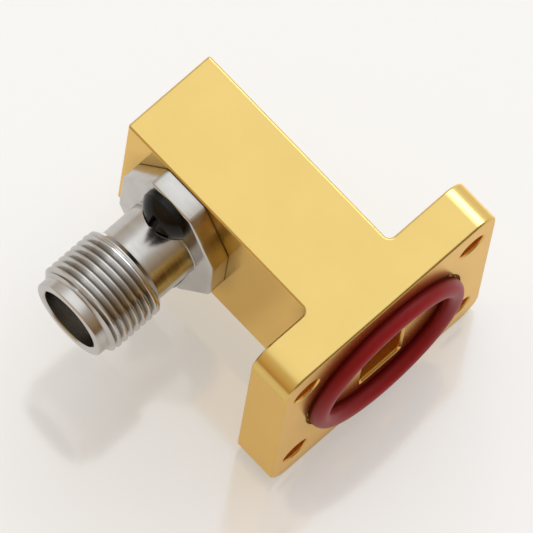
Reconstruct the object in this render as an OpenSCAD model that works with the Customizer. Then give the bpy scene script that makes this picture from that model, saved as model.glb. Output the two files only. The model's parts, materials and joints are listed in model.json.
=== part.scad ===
// Waveguide to coaxial adapter: a plated body with a square bolt flange, a seal ring and a coaxial jack.
// Origin: centre of the guide's mouth on the flange face, which looks along -Y.
// The block runs back along +Y, the jack points along -X, and +Z is up. Sizes are in millimetres.

/* [Guide] */
// Broad side of the guide, along Z
guide_a = 7.112; // [6.4:0.001:7.8]
// Narrow side of the guide, along X
guide_b = 3.556; // [3.2:0.001:4]
// Rounding of the guide's long edges
guide_corner_r = 0.25; // [0.15:0.05:0.4]
// Bevel round the guide's mouth
guide_bevel = 0.15; // [0.05:0.05:0.3]
// Distance from the jack's axis to the guide's closed end
backshort = 2.8; // [2:0.1:3.6]

/* [Flange] */
// Side of the square flange
flange_size = 19.05; // [18:0.05:22]
// Thickness of the flange
flange_t = 3.35; // [2.5:0.05:5]
// Rounding of the flange's corners
flange_corner_r = 1.8; // [1:0.1:2.2]
// Bolt spacing along X
bolt_spacing_x = 14.9; // [14:0.1:15.4]
// Bolt spacing along Z
bolt_spacing_z = 12.7; // [12:0.1:15]
// Diameter of the bolt holes
bolt_hole_d = 2.1; // [1.6:0.1:2.6]
// Bevel at both ends of the bolt holes
bolt_hole_bevel = 0.1; // [0.05:0.01:0.2]

/* [Seal ring] */
// Diameter of the seal ring at the middle of its section
ring_mean_d = 12.2; // [11.4:0.1:12.8]
// Diameter of the seal ring's round section
ring_section_d = 1.44; // [1.2:0.02:1.6]
// How far the seal ring stands out of the flange face
ring_stand = 1.02; // [0.8:0.02:1.1]
// Gap on each side of the seal ring in its groove
ring_side_gap = 0.18; // [0.05:0.01:0.25]
// Gap between the seal ring and the floor of its groove
ring_floor_gap = 0.01; // [0:0.01:0.05]

/* [Block] */
// Length of the body from the flange face to its rear end
block_len = 20.65; // [20:0.05:24]
// Wall between the guide and the jack
coax_wall = 2.77; // [2.6:0.01:3.4]
// Wall on the far side of the guide
side_wall = 1.03; // [0.8:0.01:2]
// Wall under the guide
floor_wall = 1.02; // [0.8:0.01:2]
// Fillet where the block meets the flange
root_fillet = 0.5; // [0.3:0.05:0.8]
// Edge break along the body's outer edges
edge_break = 0.12; // [0.05:0.01:0.2]

/* [Jack] */
// Distance from the jack's axis to the body's rear end
jack_from_rear = 5.75; // [5.2:0.05:6.5]
// Height of the jack's axis above the middle of the guide
jack_rise = 2.375; // [1.8:0.005:2.6]
// Thickness of the fixing plate
plate_t = 1.5; // [1.2:0.05:2.2]
// Width of the fixing plate, along Y
plate_w = 8.7; // [8.4:0.05:9.6]
// Height of the fixing plate, along Z
plate_h = 13.8; // [13.6:0.05:14]
// Length of the plate's upright sides
plate_side = 5.1; // [4.4:0.1:6]
// Length of the plate's top and bottom sides
plate_end = 3.66; // [3.2:0.02:4.2]
// Bevel round the plate's front edge
plate_bevel = 0.2; // [0.1:0.05:0.3]
// Diameter of the plain barrel
barrel_d = 5.76; // [5.4:0.02:5.9]
// Length of the plain barrel
barrel_len = 3.3; // [2.6:0.1:5]
// Fillet at the foot of the barrel
barrel_fillet = 0.1; // [0.05:0.01:0.14]
// Outside diameter of the coupling thread
thread_d = 7; // [6.6:0.05:7.2]
// Length of the coupling thread with its chamfers
thread_len = 4.6; // [3.6:0.1:6]
// Pitch of the coupling thread
thread_pitch = 0.55; // [0.4:0.05:0.75]
// Least length of the plain collar behind the thread
collar_len = 0.05; // [0.05:0.01:0.3]
// Length of the lead-in chamfer at the thread's front end
lead_chamfer = 0.3; // [0.2:0.05:0.5]
// Chamfer on the step behind the thread
step_chamfer = 0.35; // [0.2:0.01:0.4]
// Diameter of the smooth nose in front of the thread
nose_d = 6.1; // [5.7:0.05:6.4]
// Length of the smooth nose
nose_len = 0.8; // [0.5:0.05:1.4]
// Diameter of the mouth
mouth_d = 4.75; // [4.4:0.05:5]
// Depth of the mouth
mouth_depth = 2.3; // [1.8:0.1:3]
// Bevel on the rims of the nose and the mouth
rim_bevel = 0.12; // [0.05:0.01:0.2]
// Bore of the coaxial line
line_d = 2.4; // [2.2:0.05:2.6]
// Diameter of the seat for the bead and the bush
seat_d = 3.6; // [3.2:0.05:4]

/* [Screws] */
// Distance of each fixing screw from the jack's axis
screw_offset = 4.95; // [4.85:0.01:5]
// Outside diameter of the screw's thread
screw_d = 2; // [1.6:0.1:2.2]
// Diameter of the screw's head
head_d = 3.9; // [3.6:0.05:3.94]
// Height of the straight side of the head
head_side = 0.45; // [0.3:0.05:0.8]
// Height of the domed top of the head
head_dome = 1.15; // [0.8:0.05:1.3]
// Width of the cross recess across its arms
recess_span = 2.5; // [1.8:0.05:2.6]
// Width of one arm of the recess
recess_arm = 0.64; // [0.4:0.02:0.66]
// Width of the recess at its foot
recess_foot = 0.68; // [0.6:0.02:0.9]
// Depth of the recess at its centre
recess_depth = 1.05; // [0.7:0.05:1.2]
// Length of screw inside the body
screw_grip = 2.1; // [1.6:0.1:2.2]
// Gap round the screw in the fixing plate
screw_clearance = 0.15; // [0.1:0.01:0.25]
// Gap round the screw in its tapped hole and past its tip
tap_clearance = 0.03; // [0.02:0.01:0.08]

/* [Centre conductor] */
// Diameter of the centre contact
contact_d = 1.04; // [0.9:0.02:1.2]
// How far the contact lies behind the floor of the mouth
contact_setback = 0.05; // [0.02:0.01:0.15]
// Bore of the contact's open end
socket_d = 0.54; // [0.4:0.02:0.64]
// Depth of the contact's open end
socket_depth = 1.9; // [1.4:0.1:2.6]
// Width of the slots between the contact's fingers
slot_w = 0.1; // [0.06:0.02:0.16]
// Length of the contact's fingers
finger_len = 1.6; // [1:0.1:2.4]
// Length of the launch pin inside the contact
tail_depth = 1.2; // [0.8:0.1:2]
// Thickness of the support bead
bead_t = 1; // [0.6:0.1:1.4]
// Length of the bush behind the bead
bush_len = 1.6; // [1:0.1:2.2]
// Diameter of the launch pin
pin_d = 0.5; // [0.4:0.02:0.6]
// Outside diameter of the feed sleeve
feed_d = 1.68; // [1.4:0.02:2]
// How far the probe reaches into the guide
probe_reach = 1.6; // [1.2:0.05:2.4]
// Diameter of the probe's tip
tip_d = 1; // [0.8:0.05:1.3]
// Length of the probe's tip
tip_len = 0.9; // [0.6:0.05:1.1]
// Thickness of the closed end of the probe's tip
tip_end_t = 0.2; // [0.1:0.05:0.3]

/* [Hidden] */
$fn = 96;
// Overrun of every cut past the face that it opens
over = 0.1;

// Colours of the finishes
gold = "#dcb65a";
steel = "#bcb8b2";
black = "#262524";
wine = "#7e1526";
ivory = "#e9e3d2";
white = "#f2f1ee";

// Edges of the block
block_left = -(guide_b / 2 + coax_wall);
block_right = guide_b / 2 + side_wall;
block_top = flange_size / 2;
block_bottom = -(guide_a / 2 + floor_wall);
// The block starts inside the flange
block_start = flange_t / 2;

// Jack axis and the stations along it, counted out from the block's side
jack_y = block_len - jack_from_rear;
guide_end = jack_y + backshort;
barrel_end = plate_t + barrel_len;
thread_end = barrel_end + thread_len;
jack_len = thread_end + nose_len;
mouth_floor = jack_len - mouth_depth;
seat_depth = bead_t + bush_len;

// Thread form: crest and root as shares of the pitch, and the angle between two flanks
crest_share = 1 / 8;
root_share = 1 / 4;
flank_angle = 60;
cut_mouth = thread_pitch * (1 - crest_share) / 2;
cut_foot = thread_pitch * root_share / 2;
thread_depth = (cut_mouth - cut_foot) / tan(flank_angle / 2);
cut_count = floor((thread_len - lead_chamfer - step_chamfer - collar_len) / thread_pitch);

// Seal ring and its groove
ring_out = ring_stand - ring_section_d / 2;
groove_depth = ring_section_d - ring_stand + ring_floor_gap;
groove_half = ring_section_d / 2 + ring_side_gap;

// Screws: the dome is a slice of a ball
head_ball_r = (pow(head_d / 2, 2) + pow(head_dome, 2)) / (2 * head_dome);
head_h = head_side + head_dome;
// How far the dome has fallen where the arms of the recess end
recess_drop = head_ball_r - sqrt(pow(head_ball_r, 2) - pow(recess_span / 2, 2));

// Frame on the flange face: x along +X, y along +Z, z out of the face
module on_flange_face() {
    rotate([90, 0, 0]) children();
}

// Frame on the back of the flange: z out of the back, along +Y
module on_flange_back() {
    translate([0, flange_t, 0]) rotate([-90, 0, 0]) children();
}

// Frame of the jack: z out from the block's side, x along +Z, y along +Y
module on_jack() {
    translate([block_left, jack_y, jack_rise]) rotate([0, -90, 0]) children();
}

// Repeats a shape at both fixing screws, one above the jack and one below
module at_screws() {
    for (side = [-1, 1]) translate([side * screw_offset, 0, 0]) children();
}

// Repeats a shape at the four flange bolts, in the frame of a flange face
module at_bolts() {
    for (x = [-1, 1], y = [-1, 1]) translate([x * bolt_spacing_x / 2, y * bolt_spacing_z / 2, 0]) children();
}

// Flat rectangle with rounded corners
module rounded_rect(w, h, r) {
    square([w - 2 * r, h], center = true);
    square([w, h - 2 * r], center = true);
    for (x = [-1, 1], y = [-1, 1]) translate([x * (w / 2 - r), y * (h / 2 - r)]) circle(r);
}

// Flat rectangle between two corners, with its corners cut off
module cut_rect(low, high, c) {
    polygon([
        [low[0] + c, low[1]], [high[0] - c, low[1]], [high[0], low[1] + c], [high[0], high[1] - c],
        [high[0] - c, high[1]], [low[0] + c, high[1]], [low[0], high[1] - c], [low[0], low[1] + c]
    ]);
}

// Carries a flat profile round a rounded rectangle: profile x points outwards and y points up
module round_rect_sweep(w, h, r) {
    for (side = [[w, h, 0], [h, w, 90], [w, h, 180], [h, w, 270]]) rotate(side[2]) {
        translate([r - side[0] / 2, -side[1] / 2, 0])
            rotate([90, 0, 90]) linear_extrude(side[0] - 2 * r) mirror([1, 0]) children();
        translate([side[0] / 2 - r, r - side[1] / 2, 0])
            rotate(-90) rotate_extrude(angle = 90) translate([r, 0]) children();
    }
}

// Section of the cut that bevels an outer edge: the face is at y = 0 and the side at x = 0
module outer_bevel(c) {
    polygon([[-c - over, over], [over, -c - over], [over, over]]);
}

// Section of the cut that bevels the edge of an opening
module inner_bevel(c) {
    mirror([1, 0]) outer_bevel(c);
}

// Hollow quarter that fills an inside corner: the walls are x = 0 and y = 0
module fillet_section(r) {
    difference() {
        square(r);
        translate([r, r]) circle(r);
    }
}

module flange_plate() {
    difference() {
        on_flange_back() translate([0, 0, -flange_t]) linear_extrude(flange_t)
            rounded_rect(flange_size, flange_size, flange_corner_r);
        on_flange_face() round_rect_sweep(flange_size, flange_size, flange_corner_r) outer_bevel(edge_break);
        on_flange_back() round_rect_sweep(flange_size, flange_size, flange_corner_r) outer_bevel(edge_break);
    }
}

// The block is what three bevelled outlines have in common, one along each axis
module block() {
    intersection() {
        translate([0, 0, block_bottom]) linear_extrude(block_top - block_bottom)
            cut_rect([block_left, block_start], [block_right, block_len], edge_break);
        translate([block_left, 0, 0]) rotate([90, 0, 90]) linear_extrude(block_right - block_left)
            cut_rect([block_start, block_bottom], [block_len, block_top], edge_break);
        translate([0, block_len, 0]) rotate([90, 0, 0]) linear_extrude(block_len - block_start)
            cut_rect([block_left, block_bottom], [block_right, block_top], edge_break);
    }
}

// Upright fillet between the block's side and the flange, bevelled at the top like the edges that it joins
module upright_fillet(wall_x, away) {
    reach = root_fillet + 2 * edge_break;
    height = block_top - block_bottom;
    difference() {
        translate([wall_x, flange_t, block_bottom]) mirror([away < 0 ? 1 : 0, 0, 0])
            translate([-2 * edge_break, -2 * edge_break, 0]) cube([reach, reach, height]);
        translate([wall_x + away * root_fillet, flange_t + root_fillet, 0]) {
            translate([0, 0, block_bottom - over]) cylinder(r = root_fillet, h = height + 2 * over);
            translate([0, 0, block_top - edge_break])
                cylinder(r1 = root_fillet, r2 = root_fillet + edge_break + over, h = edge_break + over);
        }
    }
}

// Fillet under the block, turned round the block's two lower edges to meet the upright ones
module lower_fillet() {
    translate([block_left, flange_t, block_bottom])
        rotate([0, 90, 0]) linear_extrude(block_right - block_left) fillet_section(root_fillet);
    for (edge = [[block_left, 90], [block_right, 0]])
        translate([edge[0], flange_t, block_bottom]) rotate([-90, 0, 0]) rotate(edge[1])
            rotate_extrude(angle = 90) fillet_section(root_fillet);
}

module guide_channel() {
    translate([0, -over, 0]) rotate([-90, 0, 0]) linear_extrude(guide_end + over)
        rounded_rect(guide_b, guide_a, guide_corner_r);
    on_flange_face() round_rect_sweep(guide_b, guide_a, guide_corner_r) inner_bevel(guide_bevel);
}

module seal_groove() {
    on_flange_face() rotate_extrude() translate([ring_mean_d / 2 - groove_half, -groove_depth])
        square([2 * groove_half, groove_depth + over]);
}

// One bolt hole cut down from a face at z = 0, with that face's bevel
module bolt_hole() {
    translate([0, 0, -flange_t]) cylinder(d = bolt_hole_d, h = flange_t + over);
    flare = bolt_hole_bevel + over;
    translate([0, 0, -bolt_hole_bevel]) cylinder(d1 = bolt_hole_d, d2 = bolt_hole_d + 2 * flare, h = flare);
}

module bolt_holes() {
    on_flange_face() at_bolts() bolt_hole();
    on_flange_back() at_bolts() bolt_hole();
}

// Holes in the block's side: the feed into the guide and the two tapped holes
module jack_holes() {
    on_jack() {
        translate([0, 0, -coax_wall - over]) cylinder(d = feed_d, h = coax_wall + 2 * over);
        at_screws() translate([0, 0, -screw_grip - tap_clearance])
            cylinder(d = screw_d + 2 * tap_clearance, h = screw_grip + tap_clearance + over);
    }
}

module body() {
    color(gold) difference() {
        union() {
            flange_plate();
            block();
            upright_fillet(block_left, -1);
            upright_fillet(block_right, 1);
            lower_fillet();
        }
        guide_channel();
        seal_groove();
        bolt_holes();
        jack_holes();
    }
}

module flange_o_ring() {
    color(wine) on_flange_face() rotate_extrude()
        translate([ring_mean_d / 2, ring_out]) circle(d = ring_section_d);
}

// Corner points of the fixing plate, with x up and y along the block
function plate_points() = [
    for (quarter = [[1, 1], [-1, 1], [-1, -1], [1, -1]])
        for (point = quarter[0] * quarter[1] > 0
            ? [[plate_h / 2, plate_end / 2], [plate_side / 2, plate_w / 2]]
            : [[plate_side / 2, plate_w / 2], [plate_h / 2, plate_end / 2]])
            [quarter[0] * point[0], quarter[1] * point[1]]
];

module fixing_plate() {
    points = plate_points();
    difference() {
        linear_extrude(plate_t) polygon(points);
        for (i = [0 : len(points) - 1]) {
            start = points[i];
            run = points[(i + 1) % len(points)] - start;
            translate([start[0], start[1], plate_t]) rotate(atan2(run[1], run[0]))
                translate([-plate_bevel, 0, 0]) rotate([90, 0, 90])
                    linear_extrude(norm(run) + 2 * plate_bevel) mirror([1, 0]) outer_bevel(plate_bevel);
        }
    }
}

// Corner points of one cut of the thread, with the cuts counted back from the lead-in chamfer
function thread_cut(i) = [
    for (point = [[0, -cut_mouth], [-thread_depth, -cut_foot], [-thread_depth, cut_foot], [0, cut_mouth]])
        [thread_d / 2, thread_end - lead_chamfer - (i + (1 + crest_share) / 2) * thread_pitch] + point
];

// Half section of the turned part of the shell, from inside the plate to the nose.
// Rings with the thread's section and pitch stand for its helix.
module turned_section() {
    thread_r = thread_d / 2;
    nose_r = nose_d / 2;
    polygon([
        [0, 0], [barrel_d / 2, 0], [barrel_d / 2, barrel_end], [thread_r - step_chamfer, barrel_end],
        [thread_r, barrel_end + step_chamfer],
        for (i = [cut_count - 1 : -1 : 0]) each thread_cut(i),
        [thread_r, thread_end - lead_chamfer], [nose_r, thread_end],
        [nose_r, jack_len - rim_bevel], [nose_r - rim_bevel, jack_len], [0, jack_len]
    ]);
    translate([barrel_d / 2, plate_t]) fillet_section(barrel_fillet);
}

// Half section of everything bored out of the shell
module bored_section() {
    mouth_r = mouth_d / 2;
    polygon([
        [0, -over], [seat_d / 2, -over], [seat_d / 2, seat_depth], [line_d / 2, seat_depth],
        [line_d / 2, mouth_floor], [mouth_r, mouth_floor], [mouth_r, jack_len - rim_bevel],
        [mouth_r + rim_bevel + over, jack_len + over], [0, jack_len + over]
    ]);
}

module connector_shell() {
    color(steel) on_jack() difference() {
        union() {
            fixing_plate();
            rotate_extrude() turned_section();
        }
        rotate_extrude() bored_section();
        at_screws() translate([0, 0, -over])
            cylinder(d = screw_d + 2 * screw_clearance, h = plate_t + 2 * over);
    }
}

// Half section of a pan head: a straight side under a slice of a ball
module head_section() {
    intersection() {
        square([head_d / 2, head_h]);
        translate([0, head_h - head_ball_r]) circle(head_ball_r);
    }
}

// Cross recess that narrows towards its foot, with its floor at z = 0
module cross_recess() {
    rim = recess_depth - recess_drop;
    intersection() {
        for (turn = [0, 90]) rotate(turn) translate([-recess_span, -recess_arm / 2, 0])
            cube([2 * recess_span, recess_arm, recess_depth + over]);
        union() {
            cylinder(d1 = recess_foot, d2 = recess_span, h = rim);
            translate([0, 0, rim]) cylinder(d = recess_span, h = recess_drop + over);
        }
    }
}

module connector_screw() {
    difference() {
        union() {
            rotate_extrude() head_section();
            translate([0, 0, -plate_t - screw_grip]) cylinder(d = screw_d, h = plate_t + screw_grip + over);
        }
        translate([0, 0, head_h - recess_depth]) cross_recess();
    }
}

module connector_screws() {
    color(black) on_jack() at_screws() translate([0, 0, plate_t]) connector_screw();
}

module center_contact() {
    tip = mouth_floor - contact_setback;
    color(gold) on_jack() difference() {
        cylinder(d = contact_d, h = tip);
        translate([0, 0, tip - socket_depth]) cylinder(d = socket_d, h = socket_depth + over);
        translate([0, 0, -over]) cylinder(d = pin_d, h = tail_depth + over);
        for (turn = [0, 90]) rotate(turn) translate([-contact_d, -slot_w / 2, tip - finger_len])
            cube([2 * contact_d, slot_w, finger_len + over]);
    }
}

// Ring on the jack's axis between two stations
module jack_ring(outer_d, inner_d, from, to) {
    on_jack() translate([0, 0, from]) difference() {
        cylinder(d = outer_d, h = to - from);
        translate([0, 0, -over]) cylinder(d = inner_d, h = to - from + 2 * over);
    }
}

module support_bead() {
    color(ivory) jack_ring(seat_d, contact_d, bush_len, seat_depth);
}

module retaining_bushing() {
    color(steel) jack_ring(seat_d, line_d, 0, bush_len);
}

module feed_sleeve() {
    color(white) jack_ring(feed_d, pin_d, -coax_wall, 0);
}

module launch_pin() {
    pin_end = coax_wall + probe_reach - tip_end_t;
    color(gold) on_jack() translate([0, 0, -pin_end]) cylinder(d = pin_d, h = pin_end + tail_depth);
}

// Cap on the pin's end inside the guide
module probe_tip() {
    color(gold) on_jack() translate([0, 0, -coax_wall - probe_reach]) difference() {
        cylinder(d = tip_d, h = tip_len);
        translate([0, 0, tip_end_t]) cylinder(d = pin_d, h = tip_len);
    }
}

body();
flange_o_ring();
connector_shell();
connector_screws();
center_contact();
support_bead();
retaining_bushing();
launch_pin();
feed_sleeve();
probe_tip();
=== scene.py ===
"""Looks of a waveguide to coaxial adapter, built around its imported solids. Lengths are in metres."""
import json
import math

import bmesh
import bpy
from mathutils import Matrix, Vector


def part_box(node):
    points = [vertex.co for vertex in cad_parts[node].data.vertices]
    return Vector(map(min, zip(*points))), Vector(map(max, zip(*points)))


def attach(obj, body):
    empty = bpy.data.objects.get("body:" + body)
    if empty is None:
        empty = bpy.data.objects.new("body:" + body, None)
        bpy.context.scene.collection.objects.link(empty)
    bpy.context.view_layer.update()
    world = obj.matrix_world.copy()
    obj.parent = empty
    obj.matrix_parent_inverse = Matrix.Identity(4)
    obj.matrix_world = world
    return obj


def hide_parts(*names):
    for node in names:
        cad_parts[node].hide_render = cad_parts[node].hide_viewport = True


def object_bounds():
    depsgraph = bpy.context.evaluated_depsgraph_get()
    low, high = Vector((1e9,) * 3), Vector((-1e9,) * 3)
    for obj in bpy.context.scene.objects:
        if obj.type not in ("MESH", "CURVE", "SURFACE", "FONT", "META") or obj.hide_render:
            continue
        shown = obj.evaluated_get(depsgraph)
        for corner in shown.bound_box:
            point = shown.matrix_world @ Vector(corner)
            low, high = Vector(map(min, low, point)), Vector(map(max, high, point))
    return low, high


MM = 0.001
TURN = 2 * math.pi

# Camera at the photograph's viewing angle, far away on a long lens
CAMERA_AZIMUTH = math.radians(-53.18)
CAMERA_ELEVATION = math.radians(71.0)
CAMERA_ROLL = math.radians(10.66)
CAMERA_DISTANCE = 1.0
CAMERA_TARGET = Vector((-1.802, 9.387, 0.0)) * MM
CAMERA_LENS_MM = 1020.5
CAMERA_SENSOR_MM = 36.0
CAMERA_NEAREST = 0.1
CAMERA_FURTHEST = 20.0

# Jack: the outline of its fixing plate and the stations along its axis, out from the block's side
PLATE_T = 1.5 * MM
PLATE_SIDE = 5.1 * MM
PLATE_END = 3.66 * MM
PLATE_ROUND = 0.2 * MM
PLATE_BACK_BREAK = 0.05 * MM
PLATE_CORNER_R = 0.36 * MM
PLATE_CORNER_STEPS = 1
ROUND_STEPS = 5
SCREW_OFFSET = 4.95 * MM
SCREW_HOLE_R = 1.15 * MM
SCREW_HOLE_SEGMENTS = 48
BARREL_R = 2.88 * MM
BARREL_FILLET = 0.1 * MM
BARREL_END = 4.8 * MM
STEP_CHAMFER = 0.35 * MM
COLLAR_R = 3.44 * MM
COLLAR_END = 5.25 * MM
THREAD_END = 9.4 * MM
LEAD_CHAMFER = 0.3 * MM
NOSE_R = 3.05 * MM
NOSE_ROUND = 0.14 * MM
RIM_BEVEL = 0.1 * MM
MOUTH_DEPTH = 2.3 * MM
LINE_R = 1.2 * MM
SEAT_R = 1.8 * MM
SEAT_DEPTH = 2.6 * MM
TURNED_SEGMENTS = 192

# Coupling thread
THREAD_PITCH = 0.55 * MM
THREAD_DEPTH = 0.3 * MM
THREAD_RUNOUT = 0.3 * MM
THREAD_ROWS = 20
CREST_SHARE = 0.2

# Guide: its section and its closed end. The painted reflection in a bore, a deep orange that stands in
# for gold reflecting gold, reaches past its wall, and the bore shines less
GUIDE_A = 7.112 * MM
GUIDE_B = 3.556 * MM
GUIDE_END = 17.7 * MM
BORE_MARGIN = 0.03 * MM
BORE_DULLNESS = 0.2
BORE_PAINTED_REFLECTION = (0.9, 0.45, 0.075, 1.0)

# Seal ring
RING_SEGMENTS = 288
RING_SECTION_SEGMENTS = 56
RING_FLASH_H = 0.012 * MM
RING_FLASH_ANGLE = math.radians(5)

# New meshes: the angle past which edges stay crisp, and the sizes below which points and slivers merge
SHARP_ANGLE = math.radians(32)
SAME_POINT = 1e-5 * MM
SLIVER = 1e-6 * MM

# Finishes: the part of the noise's range that they use, and how finely their soft edges are sampled
NOISE_LOW = 0.3
NOISE_HIGH = 0.7
EDGE_SAMPLES = 6

# Gold plate: tint at a grazing view, the two tones of its patches, fine lines and soft edges
GOLD_TINT = (1.0, 0.79, 0.56, 1.0)
GOLD_TONES = ((0.725, 0.53, 0.18), (0.75, 0.55, 0.19))
GOLD_ROUGHNESS = (0.17, 0.21)
GOLD_LINE_DEPTH = 0.00025 * MM
GOLD_EDGE_R = 0.12 * MM

# Turned metal: its tint at a grazing view, the darker share of its patches and its fine lines
TURNED_TINT = (0.85, 0.84, 0.83, 1.0)
TURNED_DARKER = 0.9
TURNED_ROUGHNESS_SPREAD = 0.05
TURNED_LINE_DEPTH = 0.0015 * MM

# Black oxide of the screws
OXIDE_SPECULAR = 0.2
OXIDE_TONES = ((0.004, 0.0036, 0.003), (0.007, 0.0063, 0.0054))
OXIDE_ROUGHNESS = (0.16, 0.22)
OXIDE_SPECK_DEPTH = 0.0015 * MM
OXIDE_EDGE_R = 0.08 * MM

# Silicone of the seal ring
SILICONE_SPECULAR = 0.2
SILICONE_TONES = ((0.33, 0.011, 0.016), (0.37, 0.014, 0.019))
SILICONE_ROUGHNESS = (0.38, 0.46)
SILICONE_SPECK_DEPTH = 0.004 * MM

# Insulators round the centre conductor
INSULATOR_ROUGHNESS = 0.5
INSULATOR_SPECK_DEPTH = 0.003 * MM

# Painted shade in hollows: how near walls have to stand for a finish's colour to be painted darker
# there, and by what share
GOLD_PAINTED_SHADE = (1.5 * MM, 0.6)
TURNED_PAINTED_SHADE = (0.25 * MM, 0.5)
SILICONE_PAINTED_SHADE = (3.0 * MM, 0.7)
PAINTED_SHADE_SAMPLES = 8

# Light of the studio, by the cosine to an axis that leans to the rear
SKY_AXIS = Vector((0.1, 0.25, 0.96)).normalized()
SKY_STOPS = [
    (0.0, (0.42, 0.32, 0.21)),
    (0.2, (0.56, 0.46, 0.33)),
    (0.5, (0.64, 0.585, 0.51)),
    (0.7, (0.68, 0.645, 0.6)),
    (0.8, (0.78, 0.76, 0.73)),
    (0.88, (0.99, 0.98, 0.965)),
    (0.94, (1.1, 1.095, 1.085)),
    (1.0, (1.14, 1.14, 1.13)),
]

# Cards round the studio: the way to each, the two cosines to it between which it sets in, and its tint
CARDS = [
    (Vector((0, -1, 0)), 0.1, 0.8, (0.6, 0.49, 0.37)),
    (Vector((-1, 0, 0)), 0.25, 0.85, (1.1, 0.92, 0.65)),
    (Vector((1, 0, 0)), 0.3, 0.8, (1.7, 1.9, 2.3)),
]

# Floor, with the share of a plain pale backdrop in it as the camera and the metal see it
FLOOR_HALF = 3.0
FLOOR_LOOK = {"Base Color": (0.84, 0.85, 0.86, 1.0), "Roughness": 0.1, "IOR": 2.8}
FLOOR_GLOW = 0.36
FLOOR_GLOW_COLOR = (1.0, 0.97, 0.935, 1.0)

# Lamp: the way to it, its size, colour and power
KEY_DIRECTION = Vector((0.65, 0.28, 0.7))
KEY_DISTANCE = 1.0
KEY_WIDTH = 0.9
KEY_HEIGHT = 0.45
KEY_COLOR = (0.88, 0.95, 1.0)
KEY_WATTS = 3.8

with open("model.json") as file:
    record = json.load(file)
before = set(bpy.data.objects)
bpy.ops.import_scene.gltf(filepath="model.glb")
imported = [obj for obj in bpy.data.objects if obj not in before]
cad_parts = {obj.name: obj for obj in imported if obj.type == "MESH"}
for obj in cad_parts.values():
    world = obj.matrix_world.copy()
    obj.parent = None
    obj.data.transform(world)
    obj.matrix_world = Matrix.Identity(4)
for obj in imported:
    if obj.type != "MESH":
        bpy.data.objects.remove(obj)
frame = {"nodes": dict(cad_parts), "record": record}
CAD_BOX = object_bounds()
RECORD = frame["record"]


def mount(name):
    """The record's mount of that name."""
    return next(m for m in RECORD["mounts"] if m["name"] == name)


SHELL_LOW, SHELL_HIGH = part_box("connector_shell")
JACK_AXIS = Vector(mount("coax_thread")["pos_m"])
JACK_FOOT_X = SHELL_HIGH.x
JACK_LEN = SHELL_HIGH.x - SHELL_LOW.x
PLATE_W = SHELL_HIGH.y - SHELL_LOW.y
PLATE_H = SHELL_HIGH.z - SHELL_LOW.z
THREAD_R = mount("coax_thread")["dims"]["r_mm"] * MM
MOUTH_R = mount("coax_mouth")["dims"]["r_mm"] * MM
FLOOR_Z = CAD_BOX[0][2]


# Nodes and materials

def add_node(tree, kind, settings=(), inputs=()):
    """Adds a shader node, then sets its options and its unlinked inputs."""
    made = tree.nodes.new(kind)
    for name, value in dict(settings).items():
        setattr(made, name, value)
    for name, value in dict(inputs).items():
        made.inputs[name].default_value = value
    return made


def new_material(name, inputs):
    """A material with one principled shader, whose constant inputs are set on the shader itself."""
    made = bpy.data.materials.new(name)
    made.use_nodes = True
    shader = made.node_tree.nodes["Principled BSDF"]
    for socket, value in inputs.items():
        shader.inputs[socket].default_value = value
    return made, made.node_tree, shader


def grain(tree, per_mm, detail=2.0):
    """Noise with that many grains per millimetre along each axis, so that it can run in lines."""
    place = add_node(tree, "ShaderNodeTexCoord")
    stretch = add_node(tree, "ShaderNodeMapping", inputs={"Scale": [g / MM for g in per_mm]})
    noise = add_node(tree, "ShaderNodeTexNoise", inputs={"Scale": 1.0, "Detail": detail})
    tree.links.new(place.outputs["Object"], stretch.inputs["Vector"])
    tree.links.new(stretch.outputs["Vector"], noise.inputs["Vector"])
    return noise.outputs["Fac"]


def spread(tree, source, low, high):
    """Maps noise round its middle to the range from low to high."""
    ranged = add_node(
        tree, "ShaderNodeMapRange",
        inputs={"From Min": NOISE_LOW, "From Max": NOISE_HIGH, "To Min": low, "To Max": high},
    )
    tree.links.new(source, ranged.inputs["Value"])
    return ranged.outputs["Result"]


def two_tones(tree, source, first, second):
    """Noise as a soft change between two colours."""
    ramp = add_node(tree, "ShaderNodeValToRGB")
    low, high = ramp.color_ramp.elements
    low.position = NOISE_LOW
    low.color = (*first, 1.0)
    high.position = NOISE_HIGH
    high.color = (*second, 1.0)
    tree.links.new(source, ramp.inputs["Fac"])
    return ramp.outputs["Color"]


def paint_shade_in_hollows(tree, color, reach, share):
    """The colour with painted shade: darker by up to that share where walls stand within reach."""
    shade = add_node(
        tree, "ShaderNodeAmbientOcclusion",
        settings={"samples": PAINTED_SHADE_SAMPLES},
        inputs={"Distance": reach},
    )
    tone = add_node(tree, "ShaderNodeMix", {"data_type": "RGBA"})
    tone.inputs["Factor"].default_value = share
    tree.links.new(color, shade.inputs["Color"])
    tree.links.new(color, tone.inputs["A"])
    tree.links.new(shade.outputs["Color"], tone.inputs["B"])
    return tone.outputs["Result"]


def soft_edges(tree, radius):
    """Normal that is rounded near the edges, to that radius."""
    made = add_node(tree, "ShaderNodeBevel", {"samples": EDGE_SAMPLES}, {"Radius": radius})
    return made.outputs["Normal"]


def bump(tree, source, depth, normal=None):
    """Normal of a surface whose height follows the source, to that depth."""
    made = add_node(tree, "ShaderNodeBump", inputs={"Strength": 1.0, "Distance": depth})
    tree.links.new(source, made.inputs["Height"])
    if normal:
        tree.links.new(normal, made.inputs["Normal"])
    return made.outputs["Normal"]


def math_node(tree, operation, first, second):
    """Result of a calculation on two values, each a socket or a number."""
    made = add_node(tree, "ShaderNodeMath", {"operation": operation})
    for socket, value in zip(made.inputs, (first, second)):
        if isinstance(value, (int, float)):
            socket.default_value = value
        else:
            tree.links.new(value, socket)
    return made.outputs["Value"]


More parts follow.
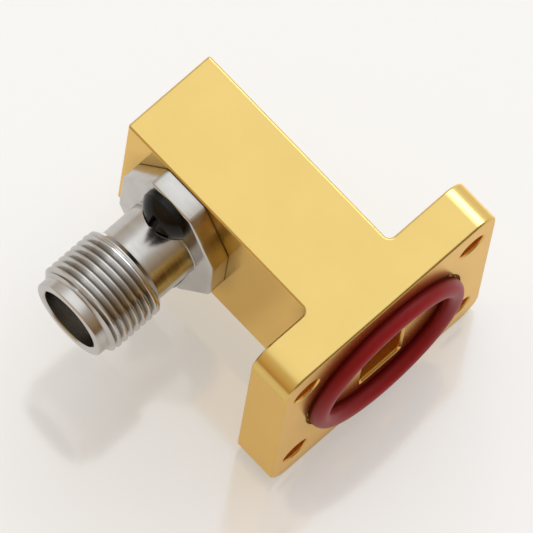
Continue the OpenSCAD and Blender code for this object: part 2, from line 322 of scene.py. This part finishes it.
def painted_reflection_mask(tree):
    """1 on the walls of the guide and of the flange's bolt holes, where the painted reflection goes,
    and 0 elsewhere.
    """
    place = add_node(tree, "ShaderNodeTexCoord")
    split = add_node(tree, "ShaderNodeSeparateXYZ")
    tree.links.new(place.outputs["Object"], split.inputs["Vector"])
    width = math_node(tree, "ABSOLUTE", split.outputs["X"], 0)
    height = math_node(tree, "ABSOLUTE", split.outputs["Z"], 0)
    bolts = mount("flange_bolts")["dims"]
    off_x = math_node(tree, "SUBTRACT", width, bolts["spacing_x_mm"] / 2 * MM)
    off_z = math_node(tree, "SUBTRACT", height, bolts["spacing_y_mm"] / 2 * MM)
    square_x = math_node(tree, "MULTIPLY", off_x, off_x)
    square_z = math_node(tree, "MULTIPLY", off_z, off_z)
    reach = bolts["hole_r_mm"] * MM + BORE_MARGIN
    in_bolt = math_node(tree, "LESS_THAN", math_node(tree, "ADD", square_x, square_z), reach * reach)
    in_width = math_node(tree, "LESS_THAN", width, GUIDE_B / 2 + BORE_MARGIN)
    in_height = math_node(tree, "LESS_THAN", height, GUIDE_A / 2 + BORE_MARGIN)
    behind = math_node(tree, "GREATER_THAN", split.outputs["Y"], BORE_MARGIN)
    ahead = math_node(tree, "LESS_THAN", split.outputs["Y"], GUIDE_END + BORE_MARGIN)
    in_guide = math_node(tree, "MULTIPLY", in_width, in_height)
    in_depth = math_node(tree, "MULTIPLY", behind, ahead)
    return math_node(tree, "MAXIMUM", in_bolt, math_node(tree, "MULTIPLY", in_guide, in_depth))


def gold_plate():
    """Satin gold plate with fine lines along the block, soft edges, painted shade where walls stand
    near and a painted deep orange reflection in its bores.
    """
    made, tree, shader = new_material("gold_plate", {"Specular Tint": GOLD_TINT})
    patches = grain(tree, per_mm=(0.25, 0.25, 0.25))
    lines = grain(tree, per_mm=(16, 0.25, 16))
    inside = painted_reflection_mask(tree)
    # Painted reflection: a deep orange in the bores that stands in for the gold reflecting itself
    # there
    tone = add_node(tree, "ShaderNodeMix", {"data_type": "RGBA"})
    tone.inputs["B"].default_value = BORE_PAINTED_REFLECTION
    tree.links.new(inside, tone.inputs["Factor"])
    # Painted shade: the plate's colour is darker where walls stand near, as round the seal ring and
    # beside the jack
    plate = paint_shade_in_hollows(tree, two_tones(tree, patches, *GOLD_TONES), *GOLD_PAINTED_SHADE)
    tree.links.new(plate, tone.inputs["A"])
    tree.links.new(tone.outputs["Result"], shader.inputs["Base Color"])
    shine = math_node(tree, "SUBTRACT", 1.0, math_node(tree, "MULTIPLY", inside, BORE_DULLNESS))
    tree.links.new(shine, shader.inputs["Metallic"])
    tree.links.new(spread(tree, lines, *GOLD_ROUGHNESS), shader.inputs["Roughness"])
    normal = bump(tree, lines, GOLD_LINE_DEPTH, soft_edges(tree, GOLD_EDGE_R))
    tree.links.new(normal, shader.inputs["Normal"])
    return made


def turned_metal(name, color, roughness):
    """Metal with fine lines round the jack's axis and painted shade in its grooves."""
    made, tree, shader = new_material(name, {"Metallic": 1.0, "Specular Tint": TURNED_TINT})
    lines = grain(tree, per_mm=(22, 0.2, 0.2), detail=3.0)
    patches = grain(tree, per_mm=(1.5, 0.6, 0.6))
    darker = [TURNED_DARKER * c for c in color]
    # Painted shade: the metal's colour is darker in the thread's grooves and other narrow hollows
    tone = paint_shade_in_hollows(tree, two_tones(tree, patches, darker, color), *TURNED_PAINTED_SHADE)
    tree.links.new(tone, shader.inputs["Base Color"])
    smoothest = roughness - TURNED_ROUGHNESS_SPREAD
    roughest = roughness + TURNED_ROUGHNESS_SPREAD
    tree.links.new(spread(tree, lines, smoothest, roughest), shader.inputs["Roughness"])
    tree.links.new(bump(tree, lines, TURNED_LINE_DEPTH), shader.inputs["Normal"])
    return made


def black_oxide():
    """Satin black finish of the screws."""
    made, tree, shader = new_material("black_screw", {"Specular IOR Level": OXIDE_SPECULAR})
    specks = grain(tree, per_mm=(9, 9, 9), detail=3.0)
    tree.links.new(two_tones(tree, specks, *OXIDE_TONES), shader.inputs["Base Color"])
    tree.links.new(spread(tree, specks, *OXIDE_ROUGHNESS), shader.inputs["Roughness"])
    normal = bump(tree, specks, OXIDE_SPECK_DEPTH, soft_edges(tree, OXIDE_EDGE_R))
    tree.links.new(normal, shader.inputs["Normal"])
    return made


def silicone():
    """Wine red silicone with a soft sheen and painted shade where walls stand near."""
    made, tree, shader = new_material("seal_rubber", {"Specular IOR Level": SILICONE_SPECULAR})
    specks = grain(tree, per_mm=(3, 3, 3), detail=4.0)
    # Painted shade: the ring is darker on its inner side, near the flange and in its groove
    tone = paint_shade_in_hollows(tree, two_tones(tree, specks, *SILICONE_TONES), *SILICONE_PAINTED_SHADE)
    tree.links.new(tone, shader.inputs["Base Color"])
    tree.links.new(spread(tree, specks, *SILICONE_ROUGHNESS), shader.inputs["Roughness"])
    tree.links.new(bump(tree, specks, SILICONE_SPECK_DEPTH), shader.inputs["Normal"])
    return made


def insulator(name, first, second):
    """Pale plastic of the insulators round the centre conductor."""
    made, tree, shader = new_material(name, {"Roughness": INSULATOR_ROUGHNESS})
    specks = grain(tree, per_mm=(6, 6, 6))
    tree.links.new(two_tones(tree, specks, first, second), shader.inputs["Base Color"])
    tree.links.new(bump(tree, specks, INSULATOR_SPECK_DEPTH), shader.inputs["Normal"])
    return made


MATERIALS = {
    "gold_plate": gold_plate(),
    "contact_gold": turned_metal("contact_gold", color=(0.78, 0.56, 0.2), roughness=0.18),
    "stainless": turned_metal("stainless", color=(0.61, 0.595, 0.575), roughness=0.2),
    "bushing_steel": turned_metal("bushing_steel", color=(0.5, 0.49, 0.47), roughness=0.3),
    "black_screw": black_oxide(),
    "seal_rubber": silicone(),
    "bead_plastic": insulator("bead_plastic", first=(0.76, 0.71, 0.58), second=(0.82, 0.78, 0.66)),
    "feed_insulator": insulator("feed_insulator", first=(0.86, 0.86, 0.84), second=(0.9, 0.9, 0.88)),
}


# Meshes

def finish_mesh(mesh, name, slot, node):
    """Turns a built mesh into a piece that stands for a node and takes the finish of its slot."""
    bmesh.ops.recalc_face_normals(mesh, faces=mesh.faces)
    data = bpy.data.meshes.new(name)
    mesh.to_mesh(data)
    mesh.free()
    data.shade_smooth()
    data.set_sharp_from_angle(angle=SHARP_ANGLE)
    data.materials.append(MATERIALS[slot])
    piece = bpy.data.objects.new(name, data)
    bpy.context.scene.collection.objects.link(piece)
    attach(piece, "root")
    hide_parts(node)
    return piece


def jack_point(out, up, along):
    """Point of the jack: out from the block's side, up and along the block from the jack's axis."""
    return Vector((JACK_FOOT_X - out, JACK_AXIS.y + along, JACK_AXIS.z + up))


def turned_point(out, angle, radius):
    """Point of the jack's turned surfaces, at an angle that grows clockwise as seen along the jack."""
    return jack_point(out, radius * math.cos(angle), radius * math.sin(angle))


def add_loop(mesh, points):
    """New points of the mesh, in order."""
    return [mesh.verts.new(p) for p in points]


def add_circle(mesh, out, radius, segments=TURNED_SEGMENTS, up=0.0):
    """Loop round the jack's axis, or round a line that much above it."""
    lift = Vector((0, 0, up))
    angles = [TURN * i / segments for i in range(segments)]
    return add_loop(mesh, [turned_point(out, angle, radius) + lift for angle in angles])


def bridge(mesh, first, second):
    """Joins two loops of as many points by a band of quads."""
    count = len(first)
    for i in range(count):
        j = (i + 1) % count
        mesh.faces.new((first[i], first[j], second[j], second[i]))


def loft(mesh, loops):
    """Joins each loop to the next."""
    for first, second in zip(loops, loops[1:]):
        bridge(mesh, first, second)


def fill(mesh, loops):
    """Fills the flat face between an outer loop and the holes in it."""
    edges = []
    for loop in loops:
        count = len(loop)
        for i in range(count):
            ends = (loop[i], loop[(i + 1) % count])
            edges.append(mesh.edges.get(ends) or mesh.edges.new(ends))
    bmesh.ops.triangle_fill(mesh, use_beauty=True, edges=edges)


def quarter_round(start, end, steps):
    """Shares of the way in and of the way forward, from start to end of a rounded edge."""
    for i in range(steps + 1):
        angle = start + (end - start) * i / steps
        yield 1 - math.cos(angle), math.sin(angle)


def plate_sides():
    """Each side of the fixing plate as the angle of its normal and its distance from the axis."""
    slope_up = PLATE_W / 2 - PLATE_END / 2
    slope_along = PLATE_H / 2 - PLATE_SIDE / 2
    slant = math.atan2(slope_along, slope_up)
    slant_reach = PLATE_H / 2 * math.cos(slant) + PLATE_END / 2 * math.sin(slant)
    half = [
        (0.0, PLATE_H / 2),
        (slant, slant_reach),
        (TURN / 4, PLATE_W / 2),
        (TURN / 2 - slant, slant_reach),
    ]
    return half + [(angle + TURN / 2, reach) for angle, reach in half]


def plate_outline(mesh, out, inset):
    """Loop round the fixing plate, with rounded corners, moved inwards by the inset."""
    points = []
    sides = plate_sides()
    for (angle, reach), (next_angle, next_reach) in zip(sides, sides[1:] + sides[:1]):
        bend = (next_angle - angle) % TURN
        near = reach - PLATE_CORNER_R
        far = next_reach - PLATE_CORNER_R
        across = (far - near * math.cos(bend)) / math.sin(bend)
        center_up = near * math.cos(angle) - across * math.sin(angle)
        center_along = near * math.sin(angle) + across * math.cos(angle)
        radius = PLATE_CORNER_R - inset
        for i in range(PLATE_CORNER_STEPS + 1):
            turned = angle + bend * i / PLATE_CORNER_STEPS
            up = center_up + radius * math.cos(turned)
            along = center_along + radius * math.sin(turned)
            points.append(jack_point(out, up, along))
    return add_loop(mesh, points)


def thread_radius(out, phase):
    """Radius of the thread where it is out from the block's side, by the phase across one pitch."""
    from_crest = abs(2 * phase - 1)
    depth = THREAD_DEPTH * max(from_crest - CREST_SHARE, 0.0) / (1 - CREST_SHARE)
    run = min((out - COLLAR_END) / THREAD_RUNOUT, 1.0)
    radius = COLLAR_R + run * (THREAD_R - depth - COLLAR_R)
    lead = (THREAD_END - out) / LEAD_CHAMFER
    return min(radius, NOSE_R + lead * (THREAD_R - NOSE_R))


def add_thread(mesh):
    """Right-hand thread from collar to nose, in rows along the helix that end on two circles."""
    turns = math.ceil((THREAD_END - COLLAR_END) / THREAD_PITCH) + 1
    rows = []
    for k in range(-THREAD_ROWS, turns * THREAD_ROWS + 1):
        row = []
        phase = (k % THREAD_ROWS) / THREAD_ROWS
        for i in range(TURNED_SEGMENTS):
            out = COLLAR_END + THREAD_PITCH * (k / THREAD_ROWS + i / TURNED_SEGMENTS)
            out = min(max(out, COLLAR_END), THREAD_END)
            point = turned_point(out, TURN * i / TURNED_SEGMENTS, thread_radius(out, phase))
            row.append(mesh.verts.new(point))
        rows.append(row)
    for k in range(len(rows) - THREAD_ROWS - 1):
        for i in range(TURNED_SEGMENTS):
            if i + 1 < TURNED_SEGMENTS:
                ahead = (rows[k][i + 1], rows[k + 1][i + 1])
            else:
                ahead = (rows[k + THREAD_ROWS][0], rows[k + THREAD_ROWS + 1][0])
            mesh.faces.new((rows[k][i], ahead[0], ahead[1], rows[k + 1][i]))


def connector_shell():
    """Fixing plate, barrel, coupling thread, nose and bore of the jack."""
    mesh = bmesh.new()
    nose_front = JACK_LEN
    foot = [
        add_circle(mesh, PLATE_T + BARREL_FILLET * inward, BARREL_R + BARREL_FILLET * (1 - forward))
        for inward, forward in quarter_round(0.0, TURN / 4, ROUND_STEPS)
    ]
    rear = foot + [
        add_circle(mesh, BARREL_END, BARREL_R),
        add_circle(mesh, BARREL_END, COLLAR_R - STEP_CHAMFER),
        add_circle(mesh, BARREL_END + STEP_CHAMFER, COLLAR_R),
        add_circle(mesh, COLLAR_END, COLLAR_R),
    ]
    rim = [
        add_circle(mesh, nose_front - NOSE_ROUND * (1 - forward), NOSE_R - NOSE_ROUND * inward)
        for inward, forward in quarter_round(0.0, TURN / 4, ROUND_STEPS)
    ]
    seat = add_circle(mesh, 0.0, SEAT_R)
    front = [add_circle(mesh, THREAD_END, NOSE_R)] + rim + [
        add_circle(mesh, nose_front, MOUTH_R + RIM_BEVEL),
        add_circle(mesh, nose_front - RIM_BEVEL, MOUTH_R),
        add_circle(mesh, nose_front - MOUTH_DEPTH, MOUTH_R),
        add_circle(mesh, nose_front - MOUTH_DEPTH, LINE_R),
        add_circle(mesh, SEAT_DEPTH, LINE_R),
        add_circle(mesh, SEAT_DEPTH, SEAT_R),
        seat,
    ]
    loft(mesh, rear)
    loft(mesh, front)
    add_thread(mesh)
    back = plate_outline(mesh, 0.0, PLATE_BACK_BREAK)
    side = plate_outline(mesh, PLATE_BACK_BREAK, 0.0)
    edge = [
        plate_outline(mesh, PLATE_T - PLATE_ROUND * (1 - forward), PLATE_ROUND * inward)
        for inward, forward in quarter_round(0.0, TURN / 4, ROUND_STEPS)
    ]
    loft(mesh, [back, side] + edge)
    holes = []
    for way in (-1, 1):
        hole = [
            add_circle(mesh, out, SCREW_HOLE_R, SCREW_HOLE_SEGMENTS, way * SCREW_OFFSET)
            for out in (0.0, PLATE_T)
        ]
        loft(mesh, hole)
        holes.append(hole)
    fill(mesh, [back, seat] + [hole[0] for hole in holes])
    fill(mesh, [edge[-1], foot[0]] + [hole[1] for hole in holes])
    bmesh.ops.remove_doubles(mesh, verts=mesh.verts, dist=SAME_POINT)
    bmesh.ops.dissolve_degenerate(mesh, dist=SLIVER, edges=mesh.edges)
    return finish_mesh(mesh, "jack_shell", "stainless", "connector_shell")


def seal_ring():
    """Silicone ring with the faint line that its mould leaves inside and outside."""
    low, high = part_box("flange_o_ring")
    section_r = (high.y - low.y) / 2
    mean_r = (high.z - low.z) / 2 - section_r
    plane_y = (high.y + low.y) / 2
    angles = [TURN * i / RING_SEGMENTS for i in range(RING_SEGMENTS)]
    mesh = bmesh.new()
    loops = []
    for k in range(RING_SECTION_SEGMENTS):
        turned = TURN * k / RING_SECTION_SEGMENTS
        off_seam = min(turned % (TURN / 2), -turned % (TURN / 2))
        flash = RING_FLASH_H * max(0.0, 1 - off_seam / RING_FLASH_ANGLE)
        radius = mean_r + (section_r - RING_FLASH_H + flash) * math.cos(turned)
        forward = plane_y + section_r * math.sin(turned)
        points = [(radius * math.cos(a), forward, radius * math.sin(a)) for a in angles]
        loops.append(add_loop(mesh, points))
    loft(mesh, loops + loops[:1])
    return finish_mesh(mesh, "seal_ring", "seal_rubber", "flange_o_ring")


def dress_solids():
    """Gives each solid the finish of its slot."""
    for subpart in RECORD["subparts"]:
        slots = frame["nodes"][subpart["node"]].data.materials
        slots.clear()
        slots.append(MATERIALS[subpart["material_slot"]])


# Floor, light and camera

def floor():
    """Glossy off-white floor under the part."""
    data = bpy.data.meshes.new("floor")
    ways = ((-1, -1), (1, -1), (1, 1), (-1, 1))
    corners = [(x * FLOOR_HALF, y * FLOOR_HALF, FLOOR_Z) for x, y in ways]
    data.from_pydata(corners, [], [(0, 1, 2, 3)])
    made, tree, shader = new_material("floor", FLOOR_LOOK)
    seen = add_node(tree, "ShaderNodeLightPath")
    shown = math_node(tree, "MAXIMUM", seen.outputs["Is Camera Ray"], seen.outputs["Is Glossy Ray"])
    glow = add_node(tree, "ShaderNodeEmission", inputs={"Color": FLOOR_GLOW_COLOR})
    mixed = add_node(tree, "ShaderNodeMixShader")
    tree.links.new(math_node(tree, "MULTIPLY", shown, FLOOR_GLOW), mixed.inputs["Fac"])
    tree.links.new(shader.outputs["BSDF"], mixed.inputs[1])
    tree.links.new(glow.outputs["Emission"], mixed.inputs[2])
    tree.links.new(mixed.outputs["Shader"], tree.nodes["Material Output"].inputs["Surface"])
    data.materials.append(made)
    piece = bpy.data.objects.new("floor", data)
    bpy.context.scene.collection.objects.link(piece)


def sky():
    """Studio light that is bright overhead, dimmer towards the horizon and tinted by the cards."""
    world = bpy.data.worlds.new("studio")
    bpy.context.scene.world = world
    world.use_nodes = True
    tree = world.node_tree
    tree.nodes.clear()
    place = add_node(tree, "ShaderNodeTexCoord")
    along = add_node(tree, "ShaderNodeVectorMath", {"operation": "DOT_PRODUCT"})
    along.inputs[1].default_value = SKY_AXIS
    ramp = add_node(tree, "ShaderNodeValToRGB")
    stops = ramp.color_ramp.elements
    for height, color in SKY_STOPS[1:-1]:
        stops.new(height)
    for stop, (height, color) in zip(stops, SKY_STOPS):
        stop.position = height
        stop.color = (*color, 1.0)
    light = add_node(tree, "ShaderNodeBackground")
    output = add_node(tree, "ShaderNodeOutputWorld")
    tree.links.new(place.outputs["Generated"], along.inputs[0])
    tree.links.new(along.outputs["Value"], ramp.inputs["Fac"])
    color = ramp.outputs["Color"]
    for normal, start, end, tint in CARDS:
        toward = add_node(tree, "ShaderNodeVectorMath", {"operation": "DOT_PRODUCT"})
        toward.inputs[1].default_value = normal
        cover = add_node(tree, "ShaderNodeMapRange", inputs={"From Min": start, "From Max": end})
        tinted = add_node(tree, "ShaderNodeMix", {"data_type": "RGBA", "blend_type": "MULTIPLY"})
        tinted.inputs["B"].default_value = (*tint, 1.0)
        tree.links.new(place.outputs["Generated"], toward.inputs[0])
        tree.links.new(toward.outputs["Value"], cover.inputs["Value"])
        tree.links.new(cover.outputs["Result"], tinted.inputs["Factor"])
        tree.links.new(color, tinted.inputs["A"])
        color = tinted.outputs["Result"]
    tree.links.new(color, light.inputs["Color"])
    tree.links.new(light.outputs["Background"], output.inputs["Surface"])


def aim(piece, direction, distance, target, roll=0.0):
    """Puts a lamp or the camera at that direction and distance from the target, looking at it."""
    back = direction.normalized()
    right = Vector((0, 0, 1)).cross(back).normalized()
    up = back.cross(right)
    side = right * math.cos(roll) + up * math.sin(roll)
    top = up * math.cos(roll) - right * math.sin(roll)
    turned = Matrix((side, top, back)).transposed().to_4x4()
    piece.matrix_world = Matrix.Translation(target + back * distance) @ turned


def key_light():
    """Large soft lamp on the far side of the block from the jack."""
    data = bpy.data.lights.new("key", "AREA")
    data.shape = "RECTANGLE"
    data.size = KEY_WIDTH
    data.size_y = KEY_HEIGHT
    data.color = KEY_COLOR
    data.energy = KEY_WATTS
    lamp = bpy.data.objects.new("key", data)
    bpy.context.scene.collection.objects.link(lamp)
    aim(lamp, KEY_DIRECTION, KEY_DISTANCE, CAMERA_TARGET)


def camera():
    """Camera with a long lens at the photograph's viewing angle."""
    data = bpy.data.cameras.new("camera")
    data.sensor_width = CAMERA_SENSOR_MM
    data.lens = CAMERA_LENS_MM
    data.clip_start = CAMERA_NEAREST
    data.clip_end = CAMERA_FURTHEST
    made = bpy.data.objects.new("camera", data)
    bpy.context.scene.collection.objects.link(made)
    level = math.cos(CAMERA_ELEVATION)
    back = Vector((
        math.sin(CAMERA_AZIMUTH) * level,
        -math.cos(CAMERA_AZIMUTH) * level,
        math.sin(CAMERA_ELEVATION),
    ))
    aim(made, back, CAMERA_DISTANCE, CAMERA_TARGET, CAMERA_ROLL)
    bpy.context.scene.camera = made


camera()
floor()
sky()
key_light()
dress_solids()
connector_shell()
seal_ring()
bpy.context.scene.view_settings.view_transform = "Standard"
